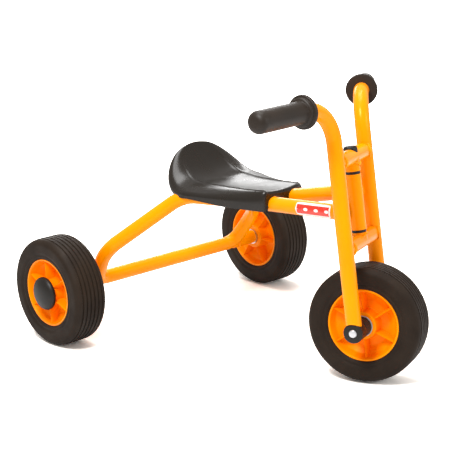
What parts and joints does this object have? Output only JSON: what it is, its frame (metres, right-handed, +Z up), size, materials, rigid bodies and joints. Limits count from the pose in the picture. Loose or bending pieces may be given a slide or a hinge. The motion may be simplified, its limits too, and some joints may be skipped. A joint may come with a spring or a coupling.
{
  "type": "toddler tricycle",
  "caption": "Push-along tricycle for a toddler: bent tube frame, moulded seat, steerable fork with handlebar and broad solid tyres.",
  "frame": {"origin": "point on the floor under the middle of the whole part's box, with the steering as it stands at rest", "axes": "+Z up, -Y the way the rider faces, +X to the rider's left"},
  "size_m": [0.487, 0.5856, 0.408],
  "materials": {
    "yellow_paint": "gloss powder coat",
    "orange_plastic": "moulded, semi-gloss",
    "tyre_rubber": "matte",
    "black_rubber": "satin",
    "seat_plastic": "glossy moulded",
    "black_plastic": "satin",
    "bush_nylon": "matte",
    "label_film": "gloss film",
    "dark_strap": "satin",
    "zinc_steel": "zinc plated"
  },
  "bodies": {
    "frame": {"rail_right": "yellow_paint", "rail_left": "yellow_paint", "stay_right": "yellow_paint", "stay_left": "yellow_paint", "rear_cross_tube": "yellow_paint", "axle_sleeve_right": "yellow_paint", "axle_sleeve_left": "yellow_paint", "rear_axle_right": "zinc_steel", "rear_axle_left": "zinc_steel", "rear_washer_right": "zinc_steel", "rear_washer_left": "zinc_steel", "rear_clip_right": "zinc_steel", "rear_clip_left": "zinc_steel", "head_tube": "yellow_paint", "head_bush_lower": "black_plastic", "head_bush_upper": "black_plastic", "rail_plug_right": "black_plastic", "rail_plug_left": "black_plastic", "stop_buffer": "black_rubber", "rail_label": "label_film", "seat_strap_rear": "dark_strap", "seat_strap_front": "dark_strap", "seat": "seat_plastic", "seat_screw_rear_right": "zinc_steel", "seat_screw_rear_left": "zinc_steel", "seat_screw_front_right": "zinc_steel", "seat_screw_front_left": "zinc_steel"},
    "fork": {"fork_leg_right": "yellow_paint", "fork_leg_left": "yellow_paint", "handlebar_right": "yellow_paint", "handlebar_left": "yellow_paint", "grip_right": "black_rubber", "grip_left": "black_rubber", "fork_cross_lower": "yellow_paint", "fork_cross_upper": "yellow_paint", "collar_lower": "yellow_paint", "collar_upper": "yellow_paint", "steering_pin": "zinc_steel", "pin_nut": "zinc_steel", "pin_cap": "black_plastic", "front_axle": "zinc_steel", "axle_block_right": "black_plastic", "axle_block_left": "black_plastic", "front_washer_right": "zinc_steel", "front_washer_left": "zinc_steel"},
    "front_wheel": {"tyre_front": "tyre_rubber", "rim_front": "orange_plastic", "wheel_bush_front": "bush_nylon"},
    "wheel_right": {"tyre_right": "tyre_rubber", "rim_right": "orange_plastic", "wheel_bush_right": "bush_nylon", "hub_cap_right": "black_plastic"},
    "wheel_left": {"tyre_left": "tyre_rubber", "rim_left": "orange_plastic", "wheel_bush_left": "bush_nylon", "hub_cap_left": "black_plastic"}
  },
  "joints": [
    {"name": "steering", "type": "hinge", "parent": "frame", "child": "fork", "pos_m": [0, -0.21216, 0.08087], "axis": [0, 0.1374, 0.9905], "range_deg": [-65, 15]},
    {"name": "front_wheel_spin", "type": "hinge", "parent": "fork", "child": "front_wheel", "pos_m": [0, -0.21216, 0.08087], "axis": [0.9063, 0.4186, -0.0581], "continuous": true},
    {"name": "wheel_right_spin", "type": "hinge", "parent": "frame", "child": "wheel_right", "pos_m": [-0.2055, 0.21284, 0.08], "axis": [1, 0, 0], "continuous": true},
    {"name": "wheel_left_spin", "type": "hinge", "parent": "frame", "child": "wheel_left", "pos_m": [0.2055, 0.21284, 0.08], "axis": [1, 0, 0], "continuous": true}
  ]
}
